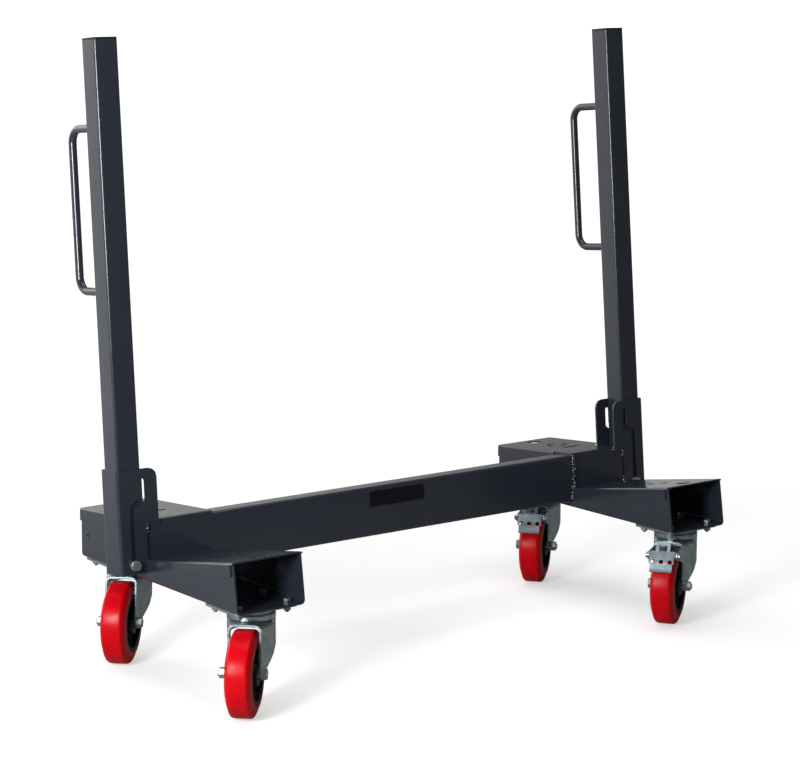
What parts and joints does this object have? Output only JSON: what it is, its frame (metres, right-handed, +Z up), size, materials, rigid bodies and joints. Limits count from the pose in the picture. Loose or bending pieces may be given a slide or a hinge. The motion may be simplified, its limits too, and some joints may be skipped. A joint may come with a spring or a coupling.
{
  "type": "sheet goods cart",
  "caption": "Board trolley: a leaning beam between castored feet with sloping beds for board edges, and uprights with grab handles that lift in slotted brackets.",
  "frame": {"origin": "on the floor, under the middle of the overall box", "axes": "+X along the beam from the unbraked to the braked castors, +Y to the rear, the way the uprights lean, +Z up"},
  "size_m": [1.3266, 0.609, 1.2194],
  "materials": {
    "coat": "satin anthracite powder coat",
    "zinc": "bluish zinc plate",
    "tyre": "smooth red polyurethane",
    "wheel_core": "moulded black polyamide",
    "cap": "moulded black plastic"
  },
  "bodies": {
    "chassis": {"beam": "coat", "left_foot": "coat", "left_front_lid": "coat", "left_rear_lid": "coat", "left_bracket": "coat", "right_foot": "coat", "right_front_lid": "coat", "right_rear_lid": "coat", "right_bracket": "coat", "front_left_castor_plate": "zinc", "front_left_kingpin": "zinc", "rear_left_castor_plate": "zinc", "rear_left_kingpin": "zinc", "front_right_castor_plate": "zinc", "front_right_kingpin": "zinc", "rear_right_castor_plate": "zinc", "rear_right_kingpin": "zinc"},
    "left_upright": {"left_upright": "coat", "left_upright_cap": "cap", "left_handle": "coat", "left_pivot_bolt": "zinc", "left_pivot_nut": "zinc"},
    "right_upright": {"right_upright": "coat", "right_upright_cap": "cap", "right_handle": "coat", "right_pivot_bolt": "zinc", "right_pivot_nut": "zinc"},
    "front_left_swivel": {"front_left_fork": "zinc", "front_left_swivel_race": "zinc", "front_left_axle_bolt": "zinc", "front_left_axle_nut": "zinc", "front_left_axle_sleeve": "zinc"},
    "front_left_wheel": {"front_left_wheel_core": "wheel_core", "front_left_tyre": "tyre"},
    "rear_left_swivel": {"rear_left_fork": "zinc", "rear_left_swivel_race": "zinc", "rear_left_axle_bolt": "zinc", "rear_left_axle_nut": "zinc", "rear_left_axle_sleeve": "zinc"},
    "rear_left_wheel": {"rear_left_wheel_core": "wheel_core", "rear_left_tyre": "tyre"},
    "front_right_swivel": {"front_right_fork": "zinc", "front_right_swivel_race": "zinc", "front_right_axle_bolt": "zinc", "front_right_axle_nut": "zinc", "front_right_axle_sleeve": "zinc", "front_right_brake_pin": "zinc"},
    "front_right_wheel": {"front_right_wheel_core": "wheel_core", "front_right_tyre": "tyre"},
    "front_right_brake": {"front_right_brake_pedal": "zinc"},
    "rear_right_swivel": {"rear_right_fork": "zinc", "rear_right_swivel_race": "zinc", "rear_right_axle_bolt": "zinc", "rear_right_axle_nut": "zinc", "rear_right_axle_sleeve": "zinc", "rear_right_brake_pin": "zinc"},
    "rear_right_wheel": {"rear_right_wheel_core": "wheel_core", "rear_right_tyre": "tyre"},
    "rear_right_brake": {"rear_right_brake_pedal": "zinc"}
  },
  "joints": [
    {"name": "front_left_swivel", "type": "hinge", "parent": "chassis", "child": "front_left_swivel", "pos_m": [-0.53, -0.18846, 0.194], "axis": [0, 0, 1], "continuous": true},
    {"name": "front_left_roll", "type": "hinge", "parent": "front_left_swivel", "child": "front_left_wheel", "pos_m": [-0.57572, -0.23466, 0.08], "axis": [0.7108, -0.7034, 0], "continuous": true},
    {"name": "rear_left_swivel", "type": "hinge", "parent": "chassis", "child": "rear_left_swivel", "pos_m": [-0.53, 0.24754, 0.194], "axis": [0, 0, 1], "continuous": true},
    {"name": "rear_left_roll", "type": "hinge", "parent": "rear_left_swivel", "child": "rear_left_wheel", "pos_m": [-0.57636, 0.20198, 0.08], "axis": [0.7009, -0.7133, 0], "continuous": true},
    {"name": "front_right_swivel", "type": "hinge", "parent": "chassis", "child": "front_right_swivel", "pos_m": [0.53, -0.18846, 0.194], "axis": [0, 0, 1], "continuous": true},
    {"name": "front_right_roll", "type": "hinge", "parent": "front_right_swivel", "child": "front_right_wheel", "pos_m": [0.47643, -0.22528, 0.08], "axis": [0.5664, -0.8241, 0], "continuous": true},
    {"name": "front_right_brake", "type": "hinge", "parent": "front_right_swivel", "child": "front_right_brake", "pos_m": [0.43182, -0.25594, 0.15315], "axis": [0.5664, -0.8241, 0], "range_deg": [0, 14]},
    {"name": "rear_right_swivel", "type": "hinge", "parent": "chassis", "child": "rear_right_swivel", "pos_m": [0.53, 0.24754, 0.194], "axis": [0, 0, 1], "continuous": true},
    {"name": "rear_right_roll", "type": "hinge", "parent": "rear_right_swivel", "child": "rear_right_wheel", "pos_m": [0.47984, 0.20619, 0.08], "axis": [0.6361, -0.7716, 0], "continuous": true},
    {"name": "rear_right_brake", "type": "hinge", "parent": "rear_right_swivel", "child": "rear_right_brake", "pos_m": [0.43808, 0.17176, 0.15315], "axis": [0.6361, -0.7716, 0], "range_deg": [0, 14]},
    {"name": "left_upright_lift", "type": "slide", "parent": "chassis", "child": "left_upright", "axis": [0, 0.0785, 0.9969], "range_m": [0, 0.105]},
    {"name": "right_upright_lift", "type": "slide", "parent": "chassis", "child": "right_upright", "axis": [0, 0.0785, 0.9969], "range_m": [0, 0.105]}
  ]
}
